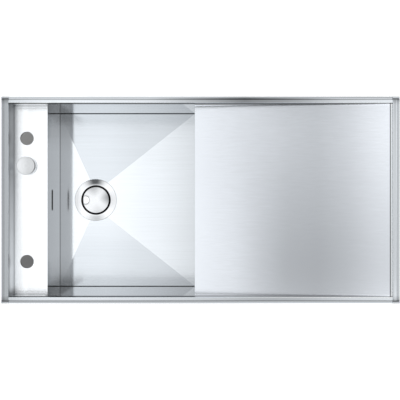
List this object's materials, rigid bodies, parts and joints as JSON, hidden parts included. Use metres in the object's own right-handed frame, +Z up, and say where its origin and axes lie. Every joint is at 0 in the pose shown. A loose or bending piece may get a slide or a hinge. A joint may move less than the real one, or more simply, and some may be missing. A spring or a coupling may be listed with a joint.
{
  "type": "kitchen sink with drainer",
  "caption": "Flat-rimmed steel inset sink: recessed tap deck with a drain knob, square bowl falling to a basket waste, sloping plain drainer, overflow and pull-cable linkage below.",
  "frame": {"origin": "centre of the rim's outline, on the underside of the rim seal where it rests on the worktop", "axes": "+X along the sink towards the drainer end, +Y to the rear, +Z up out of the worktop"},
  "size_m": [1, 0.52, 0.3137],
  "materials": {
    "rim_steel": "brushed lengthwise, satin",
    "cap_steel": "darker satin, seen end on",
    "pan_steel": "fine lengthwise brushing, satin",
    "spun_steel": "turned, fine rings round the axis",
    "zinc_steel": "zinc plated, dull",
    "nut_brass": "turned, dull",
    "seal_rubber": "matt black",
    "damping_pad": "matt, bitumen filled",
    "waste_plastic": "moulded polypropylene, satin",
    "control_plastic": "moulded, satin",
    "hose_plastic": "ribbed soft plastic",
    "sheath_plastic": "smooth vinyl"
  },
  "bodies": {
    "sink": {"left_end_rail": "rim_steel", "right_end_rail": "rim_steel", "rear_rail": "rim_steel", "front_rail": "rim_steel", "rail_end_caps": "cap_steel", "rear_wall": "pan_steel", "front_wall": "pan_steel", "right_end_wall": "pan_steel", "left_end_wall": "pan_steel", "tap_deck": "pan_steel", "bowl_left_wall": "pan_steel", "bowl_right_wall": "pan_steel", "bowl_floor": "pan_steel", "drainer": "pan_steel", "waste_cup": "spun_steel", "knob_base": "spun_steel", "deck_backing_plate": "zinc_steel", "drainer_stiffeners": "zinc_steel", "spring_clips": "zinc_steel", "clip_studs": "zinc_steel", "clip_nuts": "zinc_steel", "overflow_studs": "zinc_steel", "overflow_nuts": "zinc_steel", "hose_clips": "zinc_steel", "clamp_screw": "zinc_steel", "cable_bracket": "zinc_steel", "knob_nut": "nut_brass", "rim_seal": "seal_rubber", "overflow_gasket": "seal_rubber", "waste_upper_seal": "seal_rubber", "waste_lower_seal": "seal_rubber", "control_gasket": "seal_rubber", "drainer_sound_pads": "damping_pad", "bowl_sound_pads": "damping_pad", "overflow_box": "waste_plastic", "waste_body": "waste_plastic", "waste_tail": "waste_plastic", "control_housing": "control_plastic", "housing_cover": "control_plastic", "overflow_hose": "hose_plastic", "cable_sheath": "sheath_plastic"},
    "knob": {"control_knob": "spun_steel", "knob_spindle": "zinc_steel", "cable_drum": "control_plastic"},
    "lever": {"lever_shaft": "zinc_steel", "lift_finger": "waste_plastic", "crank_arm": "waste_plastic"},
    "wire": {"pull_wire": "zinc_steel"},
    "lifter": {"lift_pin": "zinc_steel"},
    "plug": {"strainer_basket": "spun_steel", "plug_seal": "seal_rubber"},
    "lid": {"strainer_lid": "spun_steel"}
  },
  "joints": [
    {"name": "knob_turn", "type": "hinge", "parent": "sink", "child": "knob", "pos_m": [-0.448, 0.088, -0.034], "axis": [0, 0, 1], "range_deg": [0, 110]},
    {"name": "lever_swing", "type": "hinge", "parent": "sink", "child": "lever", "pos_m": [-0.275, 0, -0.2517], "axis": [0, 1, 0], "range_deg": [0, 25]},
    {"name": "wire_pull", "type": "slide", "parent": "sink", "child": "wire", "axis": [-1, 0, 0], "range_m": [0, 0.01212]},
    {"name": "plug_lift", "type": "slide", "parent": "sink", "child": "lifter", "axis": [0, 0, 1], "range_m": [0, 0.00866]},
    {"name": "basket_lift_out", "type": "slide", "parent": "lifter", "child": "plug", "axis": [0, 0, 1], "range_m": [0, 0.25]},
    {"name": "lid_lift_off", "type": "slide", "parent": "plug", "child": "lid", "axis": [0, 0, 1], "range_m": [0, 0.12]}
  ],
  "couplings": [
    {"joint": "lever_swing", "follows": "knob_turn", "ratio": 0.22727},
    {"joint": "wire_pull", "follows": "knob_turn", "m_per_rad": 0.0063134},
    {"joint": "plug_lift", "follows": "knob_turn", "m_per_rad": 0.0045096}
  ]
}
